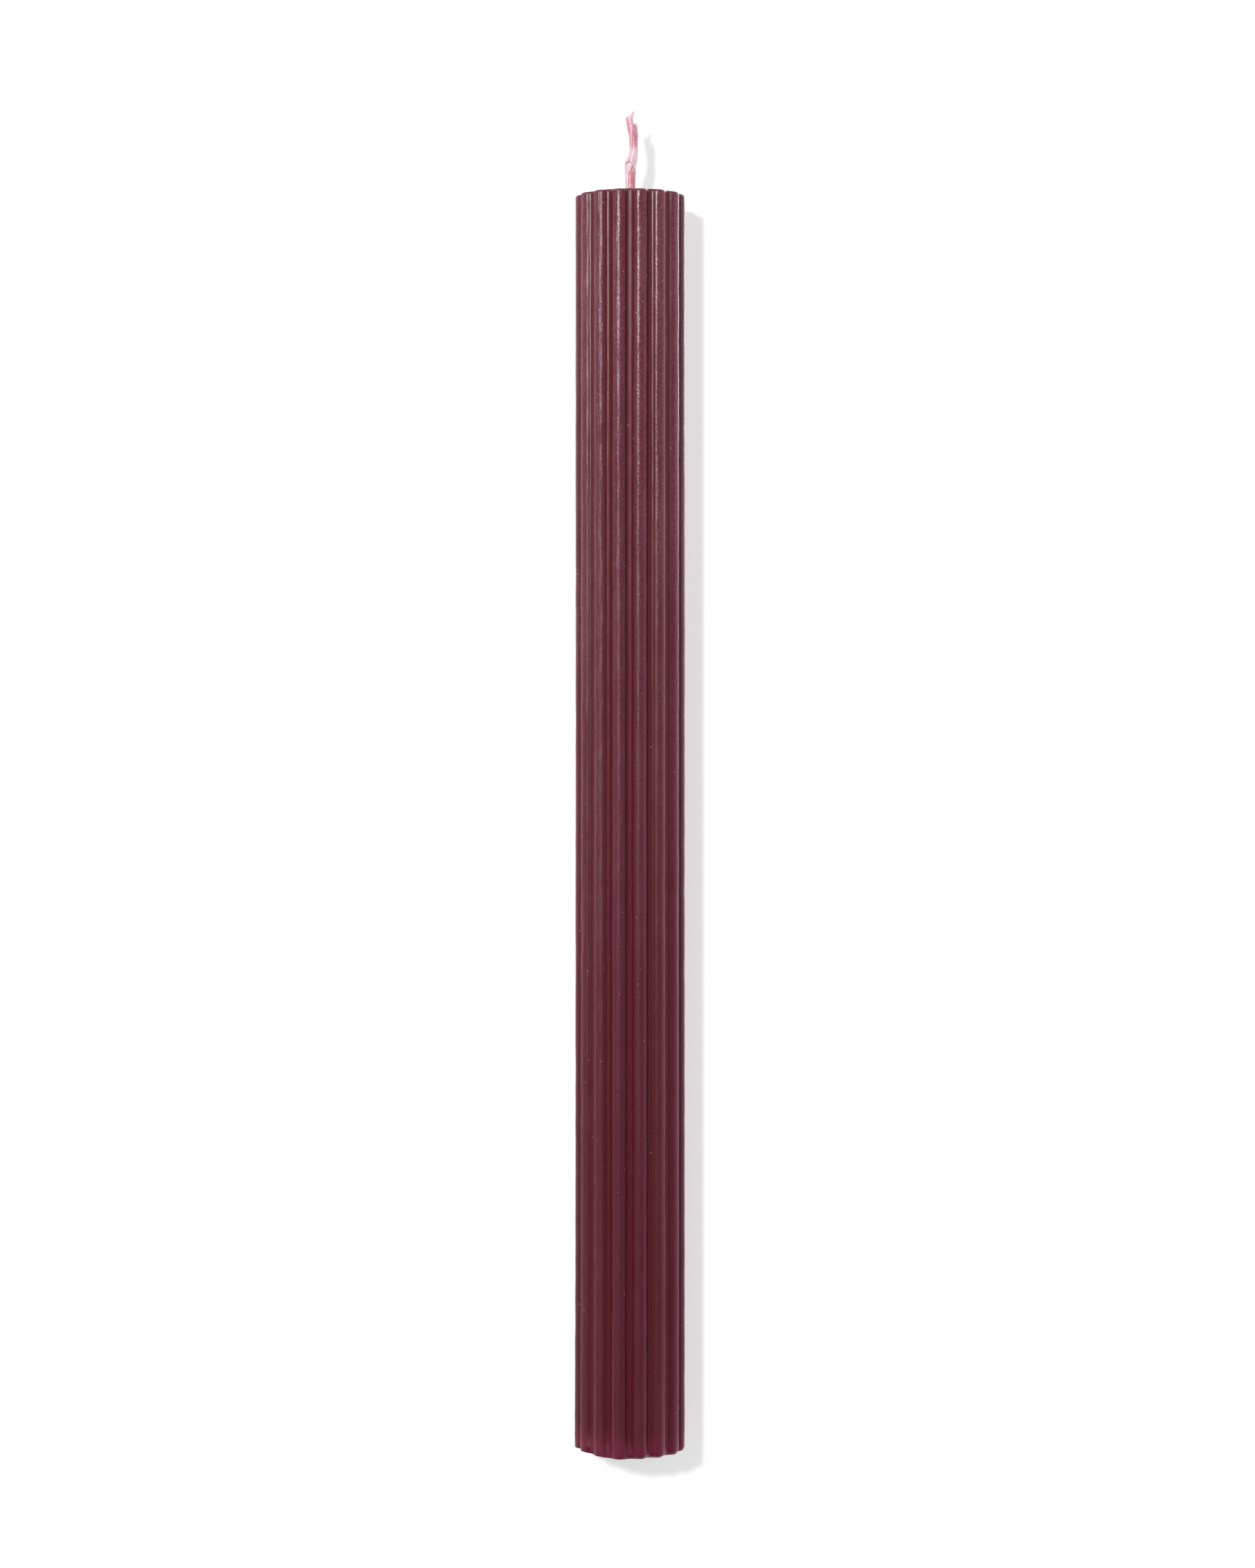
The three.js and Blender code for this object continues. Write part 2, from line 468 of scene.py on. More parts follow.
def wax_material():
    material, tree, shader, place = new_material("dyed_wax")
    x, y, z = parts_of(place)
    reach = length_of(x, y)
    crest = reach.ramp(CREST_REACH - GROOVE_DEPTH, CREST_REACH - 0.1 * MM, "SMOOTHSTEP")

    # The patterns. Where z is scaled down, a pattern is drawn out along the candle.
    drawn = vector_of(x, y, z * 0.35)
    long_drawn = vector_of(x, y, z * 0.06)
    mottle = noise(drawn, 160, 3).ramp(0.35, 0.7)
    streak = noise(long_drawn, LUMPS_PER_METRE, 2).ramp(0.4, 0.75)
    grain = noise(vector_of(x, y, z * 0.6), GRAINS_PER_METRE, 2, 0.6)
    lumps = noise(drawn, LUMPS_PER_METRE, 2, 0.5)
    cloud = noise(place, 45, 2).ramp(0.42, 0.62)

    # The colour: deep wax with painted shade in the grooves, bloom on the crests, a foot painted
    # redder and a few pale dots.
    base = mix_colour((crest * 0.75 + mottle * 0.35).at_most(1.0), WAX_DEEP, WAX_BODY)
    bloom = crest * (grain.ramp(0.45, 0.75) * 0.5 + streak * 0.25 + cloud * 0.15)
    # Painted light: the crest bloom is painted stronger towards the top, where more light falls.
    milky_and_top_lit = mix_colour(bloom * z.ramp(90 * MM, 240 * MM).blend(*BLOOM_AND_TOP_LIGHT_SHARE), base, WAX_BLOOM_AND_TOP_LIGHT)
    # Painted glow: the foot is painted redder, as light passing through the thin edge would make it.
    foot = 1 - (z + (mottle - 0.5) * 3 * MM).ramp(0.5 * MM, 6 * MM, "SMOOTHSTEP")
    foot_glow_painted = mix_colour(foot * 0.6, milky_and_top_lit, WAX_FOOT_GLOW)
    dots = specks(vector_of(x, y, z * 0.7), DOTS_PER_METRE, 0.07)
    dots = dots * noise(place, 60, 1).ramp(0.42, 0.55)
    plug(tree, shader.inputs["Base Color"], mix_colour(dots * 0.6, foot_glow_painted, WAX_SPECK))

    # The relief: lumps, long scratches on the handled crests, then the fine grain.
    patches = noise(drawn, 70, 1).ramp(0.35, 0.65)
    upper = z.ramp(140 * MM, 225 * MM, "SMOOTHSTEP")
    rubbed = crest * patches.blend(0.5, 1.0) * upper.blend(0.7, 1.0)
    handled = x.ramp(-1 * MM, -6.5 * MM)
    combed = noise(long_drawn, GRAINS_PER_METRE, 1) * crest * handled.blend(0.25, 1.0)
    relief = bump(tree, lumps * crest, LUMP_RELIEF, 0.7)
    relief = bump(tree, combed, COMBED_RELIEF, 1.0, relief)
    relief = bump(tree, grain * rubbed + dots * 0.8, GRAIN_RELIEF, 1.0, relief)
    plug(tree, shader.inputs["Normal"], relief)
    plug(tree, shader.inputs["Coat Normal"], relief)

    # The gloss comes from a thin coat, and a little light passes through the wax.
    plug(tree, shader.inputs["Roughness"], 0.40 + grain * 0.10 + crest * 0.06)
    shader.inputs["IOR"].default_value = WAX_IOR
    shader.inputs["Specular IOR Level"].default_value = WAX_GLOSS
    plug(tree, shader.inputs["Coat Weight"], z.ramp(60 * MM, 240 * MM).blend(*COAT_SHARE))
    dulled = handled.blend(-0.02, 0.07) + upper.blend(0.07, 0.0)
    plug(tree, shader.inputs["Coat Roughness"], COAT_ROUGHNESS + crest * dulled)
    shader.inputs["Subsurface Weight"].default_value = WAX_CLOUDY
    shader.inputs["Subsurface Radius"].default_value = LIGHT_REACH
    shader.inputs["Subsurface Scale"].default_value = 1.0 * MM
    return material


wax = wax_material()
print("wax material has", len(wax.node_tree.nodes), "nodes")

# %% [markdown]
# ## The wax body
#
# A lathe can't make ribs, and a stack of hand-placed rings would hide the rule. Here one flat grid is
# bent by a formula. Its columns run round the candle and its rows run along a closed way: out over
# the base, up the side, in over the top and down the channel of the wick. The first row meets the
# last one, so the bar is closed, with the channel as a real hole.
#
# Real wax isn't perfect, so the ribs wander a little, their sides have shallow dents, and the foot is
# worn slantwise on the left. Nearly all of it takes wax away, so the candle keeps its size. Only a
# thin line along one groove stands up, where the halves of the mould met.

# %% The body's tree
GROOVE_COLUMNS = 14
CREST_COLUMNS = 16
BASE_ROWS = 10
BASE_ROUND_ROWS = 8
SIDE_ROWS = 150
TOP_ROUND_ROWS = 6
TOP_ROWS = 12
CHANNEL_ROWS = 14
LINE_SHARPNESS = -0.9
CHANNEL_HALF = (1.41 * MM, 1.13 * MM)
WICK_HALF = (1.1 * MM, 0.8 * MM)
GRIP = 0.08 * MM
FOOT_SHIFT = 0.08 * MM
DOME_TILT = 20

body_sizes = {
    "Height": WAX_TOP,
    "First Groove": FIRST_GROOVE,
    "Top Rounding": TOP_ROUNDING,
    "Base Rounding": BASE_ROUNDING,
    "Foot Swell": FOOT_SWELL,
    "Foot Swell Height": FOOT_SWELL_HEIGHT,
    "Wander": math.radians(0.5),
    "Dents": 0.07 * MM,
    "Uneven Ribs": 0.06 * MM,
    "Wear Start": 3.1 * MM,
    "Wear Slope": 0.135,
    "Right Wear Slope": 0.055,
    "Groove Fill": 0.3,
    "Mould Line": 0.0525 * MM,
    "Dome": 0.35 * MM,
    "Meniscus": 0.35 * MM,
    "Dish": 0.12 * MM,
    "Material": wax,
}


def oval_reach(sin_turn, cos_turn, half):
    """How far an oval reaches in some direction."""
    return 1 / length_of(sin_turn / half[0], cos_turn / half[1])


def stretches(row, counts):
    """Splits the rows into stretches, and gives the share of each that a row has passed."""
    shares = []
    start = 0
    for count in counts:
        shares.append(row.ramp(start, start + count))
        start += count
    return shares


def rib_point(column, inset, turn_shift):
    """A point of the rib section. Each rib is a groove arc, then a crest arc."""
    rib = (column / (GROOVE_COLUMNS + CREST_COLUMNS) + 0.001).floor()
    step = column - rib * (GROOVE_COLUMNS + CREST_COLUMNS)
    on_crest = step.over(GROOVE_COLUMNS - 0.5)
    groove_share = step / GROOVE_COLUMNS
    crest_share = (step - GROOVE_COLUMNS) / CREST_COLUMNS
    arc_turn = rib * (2 * half_pitch) + turn_shift + on_crest * half_pitch
    groove_normal = (1 - groove_share * 2) * (meet_turn - half_pitch)
    crest_normal = (crest_share * 2 - 1) * meet_turn
    normal_turn = arc_turn + on_crest.blend(groove_normal, crest_normal)
    radius = on_crest.blend((inset + GROOVE_ARC) * -1, crest_arc - inset)
    centre = on_crest * (crest_centre - groove_centre) + groove_centre
    x = centre * arc_turn.sin() + radius * normal_turn.sin()
    y = (centre * arc_turn.cos() + radius * normal_turn.cos()) * -1
    return x, y


def body_tree(sizes):
    tree, size = new_tree("wax body", sizes)
    columns = RIB_COUNT * (GROOVE_COLUMNS + CREST_COLUMNS)
    counts = (BASE_ROWS, BASE_ROUND_ROWS, SIDE_ROWS, TOP_ROUND_ROWS, TOP_ROWS, CHANNEL_ROWS)
    grid, column, row = numbered_grid(tree, columns, sum(counts))
    base_out, base_round, side, top_round, top_in, down = stretches(row, counts)

    # The outside: rounded foot, straight side, rounded rim. The foot's left edge is sharper.
    turn = column * (2 * math.pi / columns) + size["First Groove"]
    round_x = turn.sin() * CREST_REACH
    round_y = turn.cos() * -CREST_REACH
    base_turn = base_round * (math.pi / 2)
    top_turn = top_round * (math.pi / 2)
    base_rounding = size["Base Rounding"] * round_x.ramp(-4 * MM, 5 * MM, "SMOOTHSTEP").blend(0.35, 1.0)
    side_length = size["Height"] - base_rounding - size["Top Rounding"]
    outer_height = base_rounding * (1 - base_turn.cos()) + side_length * side
    outer_height = outer_height + size["Top Rounding"] * top_turn.sin()
    edge = base_rounding * (1 - base_turn.sin()) + size["Top Rounding"] * (1 - top_turn.cos())
    foot = 1 - outer_height.ramp(0.0, size["Foot Swell Height"], "SMOOTHSTEP")

    # The small faults of a real bar, from noise at the column's place.
    wander = noise(vector_of(round_x, round_y, outer_height * 0.15), 90, 1) * 2 - 1
    dents = noise(vector_of(round_x, round_y, outer_height), 190, 2).ramp(0.4, 0.75) * size["Dents"]
    uneven = noise(vector_of(round_x, round_y, outer_height * 0.04), 150, 1).ramp(0.35, 0.65)

    # The mould line runs along the bottom of the first groove.
    off_line = column - GROOVE_COLUMNS / 2
    mould_line = (off_line * off_line * LINE_SHARPNESS).math("EXPONENT") * size["Mould Line"]
    inset = edge - foot * size["Foot Swell"] + dents + uneven * size["Uneven Ribs"] - mould_line
    rib_x, rib_y = rib_point(column, inset, size["First Groove"] + wander * size["Wander"])

    # Just above the base the grooves are pressed shut, except on the right, and the foot leans left.
    fill = (1 - outer_height.ramp(0.3 * MM, 3.5 * MM, "SMOOTHSTEP")) * size["Groove Fill"]
    fill = fill * (1 - round_x.ramp(2.5 * MM, 6 * MM, "SMOOTHSTEP"))
    rim_x = fill.blend(rib_x, turn.sin() * (CREST_REACH - inset)) - foot * FOOT_SHIFT
    rim_y = fill.blend(rib_y, turn.cos() * (inset - CREST_REACH))

    # The cut faces run from the ribs to the wick, with more rows near the wick, and the channel
    # follows. It grips the wick at both ends and is wider between them.
    to_wick = 1 - (1 - top_in) * (1 - top_in)
    hole_share = to_wick + 1 - base_out * base_out
    depth = size["Height"] * down.ramp(0.0, 1.0, "SMOOTHERSTEP")
    from_end = depth.at_most(size["Height"] - depth)
    grip = oval_reach(turn.sin(), turn.cos(), (WICK_HALF[0] - GRIP, WICK_HALF[1] - GRIP))
    wide = oval_reach(turn.sin(), turn.cos(), CHANNEL_HALF)
    hole = from_end.ramp(0.2 * MM, 2 * MM, "SMOOTHSTEP").blend(grip, wide)
    x = hole_share.blend(rim_x, turn.sin() * hole)
    y = hole_share.blend(rim_y, turn.cos() * hole * -1)

    # Wax creeps up the wick, the cut faces aren't quite flat, and the foot is worn at both sides.
    off_axis = length_of(x, y)
    off_wick = (off_axis - grip).at_least(0.0)
    creep = (off_wick / (-0.4 * MM)).math("EXPONENT") * size["Meniscus"]
    creep = creep * to_wick * (1 - down.ramp(0.0, 0.3))
    bumpy = noise(vector_of(x, y, outer_height * 2), 330, 2)
    sunk = to_wick.ramp(0.0, 0.6, "SMOOTHSTEP") * (1 - down.over(0.0)) * bumpy * size["Dish"]
    raised = (1 - base_out).ramp(0.0, 0.4) * base_out.ramp(0.0, 0.4) * bumpy * size["Dish"]
    domed = 0.6 - off_axis.ramp(7.5 * MM, CREST_REACH, "SMOOTHSTEP") + x * DOME_TILT
    domed = domed * size["Dome"] * outer_height.ramp(size["Height"] * 0.9, size["Height"])
    height = outer_height - depth + creep - sunk + raised + domed * (1 - down.ramp(0.0, 0.3))
    height = height.at_least((x * -1 - size["Wear Start"]) * size["Wear Slope"])
    height = height.at_least((x - 4.5 * MM) * size["Right Wear Slope"]).at_least(0.0)

    placed = set_places(tree, grid, vector_of(x, y, height))
    finish_tree(tree, close_seams(tree, placed, 0.002 * MM), size["Material"])
    return tree


body = grow("candle_wax", body_tree(body_sizes), body_sizes)

# %% [markdown]
# ## The finish of the wick
#
# The yarn is cotton that has soaked up pink-stained wax. Where it has soaked up more, it is deeper
# pink and glossier. How much belongs to each strand and changes along it, so the geometry tree below
# writes it on the mesh as an attribute, and the material reads that attribute.

# %% Wick material
YARN_PALE = (0.58, 0.45, 0.485, 1)
YARN_DEEP = (0.40, 0.105, 0.155, 1)
YARN_LIGHT = (0.74, 0.60, 0.64, 1)


def yarn_material():
    material, tree, shader, place = new_material("waxed_yarn")
    x, y, z = parts_of(place)
    attribute = tree.nodes.new("ShaderNodeAttribute")
    attribute.attribute_name = "soak"
    soak = Wire(tree, attribute.outputs["Fac"])
    fibres = noise(vector_of(x, y, z * 0.2), 9000, 2, 0.6)
    blotches = noise(place, 900, 2).ramp(0.35, 0.65)
    share = (soak + (blotches - 0.5) * 0.35).ramp(0.0, 1.0)
    tinted = mix_colour(share, YARN_PALE, YARN_DEEP)
    colour = mix_colour(fibres.ramp(0.45, 0.8) * 0.15, tinted, YARN_LIGHT)
    plug(tree, shader.inputs["Base Color"], colour)
    plug(tree, shader.inputs["Roughness"], 0.55 - share * 0.2)
    relief = bump(tree, fibres, 0.012 * MM, 0.6)
    plug(tree, shader.inputs["Normal"], relief)
    shader.inputs["Coat Weight"].default_value = 0.3
    shader.inputs["Coat Roughness"].default_value = 0.25
    shader.inputs["Subsurface Weight"].default_value = 0.3
    shader.inputs["Subsurface Radius"].default_value = (1.0, 0.4, 0.45)
    shader.inputs["Subsurface Scale"].default_value = 0.5 * MM
    return material


yarn = yarn_material()
print("wick material has", len(yarn.node_tree.nodes), "nodes")

# %% [markdown]
# ## The strands
#
# A round tube along each path would leave gaps that a real plait doesn't have, because the soft
# strands squash each other. So each strand swells from its centre until something stops it: the
# plane half-way to a neighbour, or the oval outside of the whole wick. A small ripple that turns
# round the strand is its twisted yarn.

# %% The strand's tree
STRAND_COLUMNS = 42
CAP_ROWS = 5
HIDDEN_ROWS = 110
STUB_ROWS = 150
YARNS = 7
YARN_TURN = 5 * MM
FINE_START = WAX_TOP - 1 * MM
STRAND_GAP = 0.01 * MM
STRAND_REACH = 0.85 * MM
CORNER_SOFTNESS = 0.03 * MM
CROSSING_PUSH = 0.12 * MM
FLICK_SHOULDER = (WICK_CUT + 0.25 * MM, WICK_CUT + 0.75 * MM)
FLICK_THINNING = (0.60, 0.12)
FLICK_STEPS = (0.42, 0.58)

# Each entry is a stretch in mm above the wax, and how much wider the wick gets there.
WIDTHS = ((3.4, 6.6, 0.14), (6.8, 9.8, -0.32), (11.0, 13.5, 0.16))

strand_sizes = {
    "Lead": PLAIT_LEAD,
    "Top": WICK_CUT,
    "Flick": 0.0,
    "Cap": 0.25 * MM,
    "Push Next": 0.0,
    "Push Last": 0.0,
    "Soak Low": 0.1,
    "Soak Middle": 0.1,
    "Soak High": 0.9,
    "Soak Tip": 0.9,
    "Ripple": 0.015 * MM,
    "Creases": 0.06 * MM,
    "Material": yarn,
}


def reach_to_oval(centre, way, half):
    """How far a ray from a point inside an oval goes before it meets the oval."""
    a = (way[0] / half[0]) * (way[0] / half[0]) + (way[1] / half[1]) * (way[1] / half[1])
    b = centre[0] * way[0] / (half[0] * half[0]) + centre[1] * way[1] / (half[1] * half[1])
    c = (centre[0] / half[0]) * (centre[0] / half[0]) + (centre[1] / half[1]) * (centre[1] / half[1]) - 1
    return ((b * b - a * c).at_least(0.0).root() - b) / a


def reach_to_neighbour(centre, way, other, push):
    """How far a ray goes before it meets the plane half-way to a neighbour, moved by a push."""
    gap_x = other[0] - centre[0]
    gap_y = other[1] - centre[1]
    distance = length_of(gap_x, gap_y)
    facing = (way[0] * gap_x + way[1] * gap_y) / distance
    return ((distance - STRAND_GAP) / 2 + push) / facing.at_least(0.05)


def write_attribute(tree, geometry, name, value):
    node = tree.nodes.new("GeometryNodeStoreNamedAttribute")
    node.data_type = "FLOAT"
    node.domain = "POINT"
    node.inputs["Name"].default_value = name
    tree.links.new(geometry, node.inputs["Geometry"])
    tree.links.new(value.socket, node.inputs["Value"])
    return node.outputs[0]


def strand_tree(sizes):
    tree, size = new_tree("wick strand", sizes)
    counts = (CAP_ROWS, HIDDEN_ROWS, STUB_ROWS, CAP_ROWS)
    grid, column, row = numbered_grid(tree, STRAND_COLUMNS, sum(counts))
    opening, hidden, stub, closing = stretches(row, counts)
    close_turn = closing * (math.pi / 2)
    height = hidden * (FINE_START - WICK_RECESS) + WICK_RECESS
    height = height + (size["Top"] - size["Cap"] - FINE_START) * stub + size["Cap"] * close_turn.sin()
    above = height - WAX_TOP

    turn = column * (2 * math.pi / STRAND_COLUMNS)
    way = (turn.cos(), turn.sin())
    centre = strand_centre(height, size["Lead"])

    # A strand reaches to the wick's outside or to a neighbour, whichever comes first. Where one
    # crosses over the others it pushes them aside, and above the cut it has no neighbours left.
    half_width = above * 0 + WICK_HALF[0]
    for start, end, more in WIDTHS:
        half_width = half_width + above.ramp(start * MM, end * MM, "SMOOTHSTEP") * (more * MM)
    reach = reach_to_oval(centre, way, (half_width, WICK_HALF[1]))
    run_on = height.ramp(WICK_CUT - 0.4 * MM, WICK_CUT)
    crossing = above.ramp(4.2 * MM, 4.9 * MM) * (1 - above.ramp(6.0 * MM, 7.2 * MM)) * CROSSING_PUSH
    for step, push in ((1, size["Push Next"]), (2, size["Push Last"])):
        other = strand_centre(height, size["Lead"] + 2 * math.pi * step / STRAND_COUNT)
        limit = reach_to_neighbour(centre, way, other, crossing * push) + run_on * (1 * MM)
        reach = reach.soft_at_most(limit, CORNER_SOFTNESS)

    # Above the cut the last strand thins to the flick. The yarns make ripples, and wax makes creases.
    shoulder = height.ramp(*FLICK_SHOULDER, "SMOOTHSTEP")
    past_shoulder = height.ramp(FLICK_SHOULDER[1], FLICK_TOP)
    taper = 1 - shoulder * FLICK_THINNING[0] - past_shoulder * FLICK_THINNING[1]
    reach = reach.at_most(STRAND_REACH) * taper
    yarn_turn = (turn + height * (2 * math.pi / YARN_TURN)) * YARNS
    crease = noise(vector_of(way[0] * reach, way[1] * reach, height), 1300, 2) - 0.5
    reach = reach + (yarn_turn.cos() * size["Ripple"] + crease * size["Creases"]) * taper
    reach = reach * opening.root() * close_turn.cos()

    # The place, and how much wax the yarn has soaked up there.
    leaning = height.ramp(WICK_CUT + 0.3 * MM, FLICK_TOP)
    flick = (shoulder * FLICK_STEPS[0] + leaning * FLICK_STEPS[1]) * size["Flick"]
    x = centre[0] + wick_lean(height) + flick + way[0] * reach
    y = centre[1] + way[1] * reach
    soak = above.ramp(4.4 * MM, 5.4 * MM, "SMOOTHSTEP").blend(size["Soak Low"], size["Soak Middle"])
    soak = above.ramp(8.8 * MM, 10.6 * MM, "SMOOTHSTEP").blend(soak, size["Soak High"])
    soak = above.ramp(15 * MM, 16 * MM, "SMOOTHSTEP").blend(soak, size["Soak Tip"])
    painted = write_attribute(tree, grid, "soak", soak)
    placed = set_places(tree, painted, vector_of(x, y, height))
    finish_tree(tree, close_seams(tree, placed, 0.0005 * MM), size["Material"])
    return tree


# %% [markdown]
# ## Three strands from one tree
#
# The three strands share the tree and differ only in their inputs. The third one runs on past the
# cut as a thin flick. Each strand soaks up wax in its own way, listed from the wax upward.

# %% Grow the strands
SOAKS = ((0.0, 0.12, 0.8, 0.8), (0.85, 0.15, 0.9, 0.85), (0.85, 0.15, 0.6, 0.25))
PUSHES = ((1, 1), (0, -1), (-1, 0))
CUTS = (WICK_CUT - 0.8 * MM, WICK_CUT, FLICK_TOP)
CAPS = (0.6 * MM, 0.3 * MM, 0.1 * MM)


def wick_strands():
    tree = strand_tree(strand_sizes)
    strands = []
    for number in range(STRAND_COUNT):
        sizes = dict(strand_sizes)
        sizes["Lead"] = PLAIT_LEAD + 2 * math.pi * number / STRAND_COUNT
        sizes["Top"] = CUTS[number]
        sizes["Cap"] = CAPS[number]
        sizes["Flick"] = FLICK_REACH if number == STRAND_COUNT - 1 else 0.0
        sizes["Push Next"], sizes["Push Last"] = (float(push) for push in PUSHES[number])
        for label, soak in zip(("Soak Low", "Soak Middle", "Soak High", "Soak Tip"), SOAKS[number]):
            sizes[label] = soak
        strands.append(grow(f"wick_yarn_{number + 1}", tree, sizes))
    return strands


strands = wick_strands()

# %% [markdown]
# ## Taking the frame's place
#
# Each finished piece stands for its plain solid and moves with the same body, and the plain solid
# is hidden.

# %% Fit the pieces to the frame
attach(body, "root")
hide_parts("wax_body")
for number, strand in enumerate(strands):
    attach(strand, "root")
    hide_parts(f"wick_strand_{number + 1}")

# %% [markdown]
# ## Paper and floor
#
# In the photograph the candle lies on white paper and throws a soft shadow down and to the right.
# The candle stands upright here, so the paper stands just behind it. It shows only from its front
# and only to the camera, so it keeps no light off the candle's back, and a view from behind looks
# through it to the floor that the candle stands on. The key lamp is a little warm, so the paper is
# tinted the other way and comes out white.

# %% Paper and floor
PAPER_HALF = 0.6
FLOOR_HALF = 1.0
PAPER_TINT = (1.0, 1.06, 1.06)
PAPER_LIT = 0.60
PAPER_GLOW = 0.55
FLOOR_LIT = 0.62
FLOOR_GLOW = 0.42
PAPER_PLACE = cad_high.y + 0.05 * MM


def stage_material(name, share_lit, share_glow):
    """White paper: part of its white is its own glow, and the rest shows light and shadow."""
    material = bpy.data.materials.new(name)
    material.use_nodes = True
    tree = material.node_tree
    tree.nodes.remove(tree.nodes["Principled BSDF"])
    lit = tree.nodes.new("ShaderNodeBsdfDiffuse")
    lit.inputs["Color"].default_value = (*(share_lit * part for part in PAPER_TINT), 1)
    glow = tree.nodes.new("ShaderNodeEmission")
    glow.inputs["Strength"].default_value = share_glow
    both = tree.nodes.new("ShaderNodeAddShader")
    clear = tree.nodes.new("ShaderNodeBsdfTransparent")
    light_path = tree.nodes.new("ShaderNodeLightPath")
    seen = tree.nodes.new("ShaderNodeMixShader")
    side = tree.nodes.new("ShaderNodeMixShader")
    facing = tree.nodes.new("ShaderNodeNewGeometry")
    tree.links.new(lit.outputs[0], both.inputs[0])
    tree.links.new(glow.outputs[0], both.inputs[1])
    tree.links.new(light_path.outputs["Is Camera Ray"], seen.inputs[0])
    tree.links.new(lit.outputs[0], seen.inputs[1])
    tree.links.new(both.outputs[0], seen.inputs[2])
    tree.links.new(facing.outputs["Backfacing"], side.inputs[0])
    tree.links.new(seen.outputs[0], side.inputs[1])
    tree.links.new(clear.outputs[0], side.inputs[2])
    tree.links.new(side.outputs[0], tree.nodes["Material Output"].inputs["Surface"])
    return material


def stage_sheet(name, corners, material):
    mesh = bpy.data.meshes.new(name)
    mesh.from_pydata(corners, [], [(0, 1, 2, 3)])
    mesh.materials.append(material)
    sheet = bpy.data.objects.new(name, mesh)
    bpy.context.scene.collection.objects.link(sheet)
    return sheet


def make_stage():
    half, y = PAPER_HALF, PAPER_PLACE
    upright = [(-half, y, -half), (half, y, -half), (half, y, half), (-half, y, half)]
    wide = FLOOR_HALF
    flat = [(-wide, y, 0), (wide, y, 0), (wide, wide, 0), (-wide, wide, 0)]
    paper = stage_sheet("paper", upright, stage_material("paper", PAPER_LIT, PAPER_GLOW))
    paper.visible_diffuse = False
    paper.visible_glossy = False
    paper.visible_transmission = False
    paper.visible_shadow = False
    floor = stage_sheet("floor", flat, stage_material("floor", FLOOR_LIT, FLOOR_GLOW))
    return paper, floor


paper, floor = make_stage()
print("paper at y", round(PAPER_PLACE / MM, 2), "mm")

# %% [markdown]
# ## Light
#
# One small lamp, the key, stands high on the left near the camera. It gives the crisp lines along
# the ribs and the shadow. A soft lamp in front makes the top a little brighter. Two dim ones, just
# behind the candle on the left and on the right, lift its edges as white paper round it would. These
# three light only the candle and leave the paper alone. A last lamp behind keeps the back from going
# flat.
#
# The world gives the rest. It is white to the camera. To the candle it is brighter from behind and
# from the sides than from the front, where a dark room stands behind the camera.

# %% Lamps and world
KEY_TURN = math.radians(-17.5)
KEY_FAR = 2.2
KEY_HEIGHT = 0.70
KEY_RADIUS = 0.1
KEY_POWER = 125
KEY_COLOUR = (1.0, 0.92, 0.92)
SOFT_POWER = 0.85
SOFT_PLACE = (-0.08, -0.30, 0.42)
RIGHT_POWER = 4.4
RIGHT_PLACE = (0.56, 0.22, 0.13)
LEFT_POWER = 2.2
LEFT_PLACE = (-0.56, 0.22, 0.13)
BACK_POWER = 3.0
BACK_PLACE = (0.35, 0.75, 0.5)


def add_lamp(name, kind, power, place, target):
    data = bpy.data.lights.new(name, kind)
    data.energy = power
    lamp = bpy.data.objects.new(name, data)
    bpy.context.scene.collection.objects.link(lamp)
    lamp.location = place
    lamp.rotation_euler = (Vector(target) - Vector(place)).to_track_quat("-Z", "Y").to_euler()
    return lamp


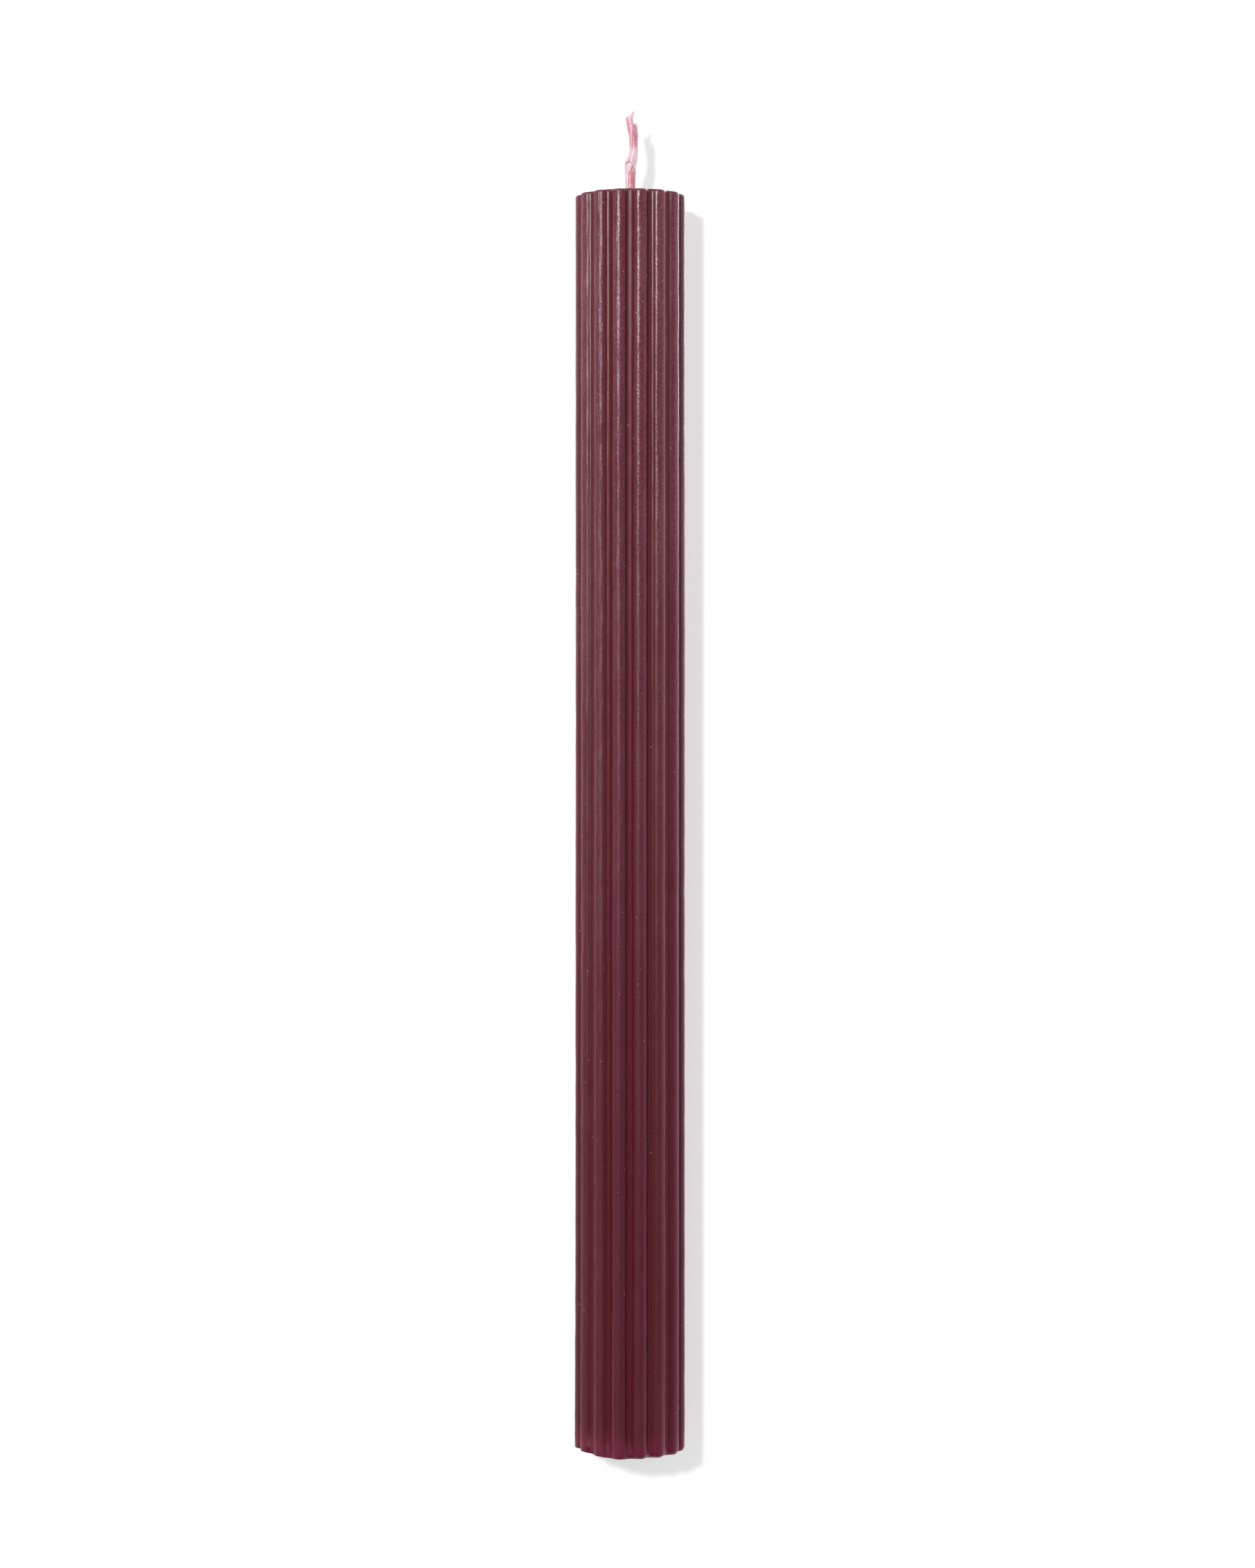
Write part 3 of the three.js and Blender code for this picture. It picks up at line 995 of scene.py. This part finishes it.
def make_lights():
    middle = (0, 0, WAX_TOP / 2)
    key_place = (KEY_FAR * math.sin(KEY_TURN), -KEY_FAR * math.cos(KEY_TURN), KEY_HEIGHT)
    key = add_lamp("key", "POINT", KEY_POWER, key_place, middle)
    key.data.shadow_soft_size = KEY_RADIUS
    key.data.color = KEY_COLOUR
    soft = add_lamp("soft", "AREA", SOFT_POWER, SOFT_PLACE, (0, 0, 0.2))
    soft.data.size = 0.25
    right = add_lamp("right", "AREA", RIGHT_POWER, RIGHT_PLACE, middle)
    left = add_lamp("left", "AREA", LEFT_POWER, LEFT_PLACE, middle)
    for lamp in (right, left):
        lamp.data.size = 0.3
        lamp.visible_glossy = False
    candle_only = bpy.data.collections.new("candle_only")
    for piece in (body, *strands):
        candle_only.objects.link(piece)
    for lamp in (soft, right, left):
        lamp.light_linking.receiver_collection = candle_only
    back = add_lamp("back", "AREA", BACK_POWER, BACK_PLACE, middle)
    back.data.size = 0.5


def make_world():
    world = bpy.data.worlds.new("white_room")
    bpy.context.scene.world = world
    world.use_nodes = True
    tree = world.node_tree
    background = tree.nodes["Background"]
    direction = Wire(tree, tree.nodes.new("ShaderNodeTexCoord").outputs["Generated"])
    light_path = tree.nodes.new("ShaderNodeLightPath")
    seen = Wire(tree, light_path.outputs["Is Camera Ray"])
    mirrored = Wire(tree, light_path.outputs["Is Glossy Ray"])
    aside, away, rise = parts_of(direction)
    behind = away.ramp(-0.6, 0.4, "SMOOTHSTEP")
    sideways = aside.math("ABSOLUTE").ramp(0.5, 1.0, "SMOOTHSTEP")

    # The light that falls on the candle, and what its gloss mirrors.
    front_light = rise.ramp(-0.6, 0.6, "SMOOTHSTEP").blend(0.2, 0.45)
    soft_light = behind.blend(front_light, 0.9) + sideways * 0.3
    front_gloss = rise.ramp(-0.3, 0.35, "SMOOTHSTEP").blend(0.0, 0.45)
    gloss = behind.blend(front_gloss, 1.0)
    gloss = gloss + aside.ramp(0.2, 0.8) * 0.5 + aside.ramp(-0.2, -0.8) * 0.25
    strength = mirrored.blend(soft_light, gloss)
    plug(tree, background.inputs["Strength"], seen.blend(strength, 1.0))
    background.inputs["Color"].default_value = (1, 1, 1, 1)


make_lights()
make_world()
bpy.context.scene.view_settings.view_transform = "Standard"

# %% [markdown]
# ## The frame's box
#
# The detailed candle must keep the frame's size, so the frame's box is printed at the end.

# %% Print the frame's box
print("box of the frame ", [round(v / MM, 2) for v in (*cad_low, *cad_high)])
